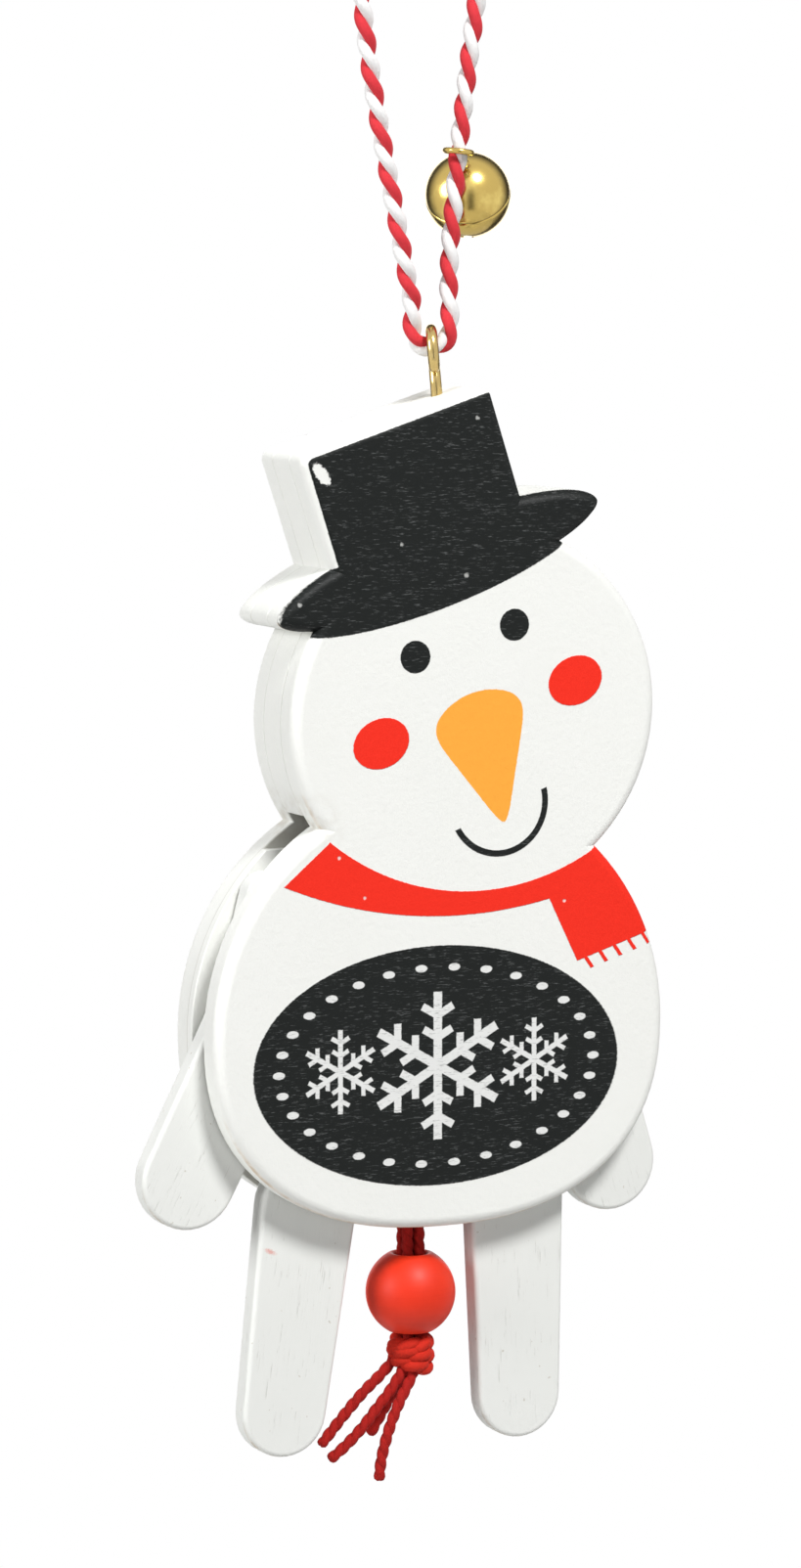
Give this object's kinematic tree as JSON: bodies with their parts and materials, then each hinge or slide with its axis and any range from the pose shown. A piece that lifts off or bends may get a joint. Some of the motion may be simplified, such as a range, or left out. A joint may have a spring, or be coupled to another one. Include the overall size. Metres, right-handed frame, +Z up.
{
  "type": "pull string jumping jack",
  "caption": "Flat wooden snowman jumping jack: limbs on pins between painted boards swing out when the beaded string is pulled; hangs from a screw eye on a twine loop with a brass bell.",
  "frame": {"origin": "centre of the screw eye's ring, from which the toy hangs", "axes": "+X to the viewer's right, +Y away from the viewer towards the back face, +Z up"},
  "size_m": [0.0575, 0.0146, 0.1695],
  "materials": {
    "painted_board": "satin warm white paint with black, red and orange print on the front",
    "painted_limb": "satin white paint with fine grain cracks",
    "dowel": "bare beech",
    "brass": "polished",
    "pellet_steel": "plain",
    "twine": "one red and one white ply, twisted",
    "red_string": "dark red twisted cotton",
    "bead_lacquer": "red lacquer, semi-gloss"
  },
  "bodies": {
    "root": {"front_board": "painted_board", "back_board": "painted_board", "head_spacer": "painted_board", "screw_eye": "brass", "hanger_cord": "twine", "hanger_knot": "twine", "left_arm_pin": "dowel", "right_arm_pin": "dowel", "left_leg_pin": "dowel", "right_leg_pin": "dowel"},
    "pull": {"left_arm_string": "red_string", "right_arm_string": "red_string", "left_leg_string": "red_string", "right_leg_string": "red_string", "pull_bead": "bead_lacquer", "pull_knot": "red_string"},
    "left_arm": {"left_arm": "painted_limb", "left_arm_tie": "red_string"},
    "right_arm": {"right_arm": "painted_limb", "right_arm_tie": "red_string"},
    "left_leg": {"left_leg": "painted_limb", "left_leg_tie": "red_string"},
    "right_leg": {"right_leg": "painted_limb", "right_leg_tie": "red_string"},
    "bell": {"bell_upper": "brass", "bell_lower": "brass", "bell_loop": "brass"},
    "pellet": {"bell_pellet": "pellet_steel"}
  },
  "joints": [
    {"name": "pull_slide", "type": "slide", "parent": "root", "child": "pull", "axis": [0, 0, -1], "range_m": [0, 0.0052]},
    {"name": "left_arm_swing", "type": "hinge", "parent": "root", "child": "left_arm", "pos_m": [-0.01867, 0, -0.066], "axis": [0, 1, 0], "range_deg": [0, 70.1]},
    {"name": "right_arm_swing", "type": "hinge", "parent": "root", "child": "right_arm", "pos_m": [0.01373, 0, -0.066], "axis": [0, -1, 0], "range_deg": [0, 70.1]},
    {"name": "left_leg_swing", "type": "hinge", "parent": "root", "child": "left_leg", "pos_m": [-0.01367, 0, -0.0806], "axis": [0, 1, 0], "range_deg": [0, 45.1]},
    {"name": "right_leg_swing", "type": "hinge", "parent": "root", "child": "right_leg", "pos_m": [0.00873, 0, -0.0806], "axis": [0, -1, 0], "range_deg": [0, 45.1]},
    {"name": "bell_swing", "type": "hinge", "parent": "root", "child": "bell", "pos_m": [0.00285, 0, 0.02], "axis": [0.112, 0, 0.9937], "range_deg": [-60, 60]},
    {"name": "pellet_rattle", "type": "slide", "parent": "bell", "child": "pellet", "axis": [0, 0, 1], "range_m": [0, 0.005]}
  ],
  "couplings": [
    {"joint": "left_arm_swing", "follows": "pull_slide", "rad_per_m": 234.95},
    {"joint": "right_arm_swing", "follows": "pull_slide", "rad_per_m": 234.95},
    {"joint": "left_leg_swing", "follows": "pull_slide", "rad_per_m": 151.04},
    {"joint": "right_leg_swing", "follows": "pull_slide", "rad_per_m": 151.04}
  ]
}
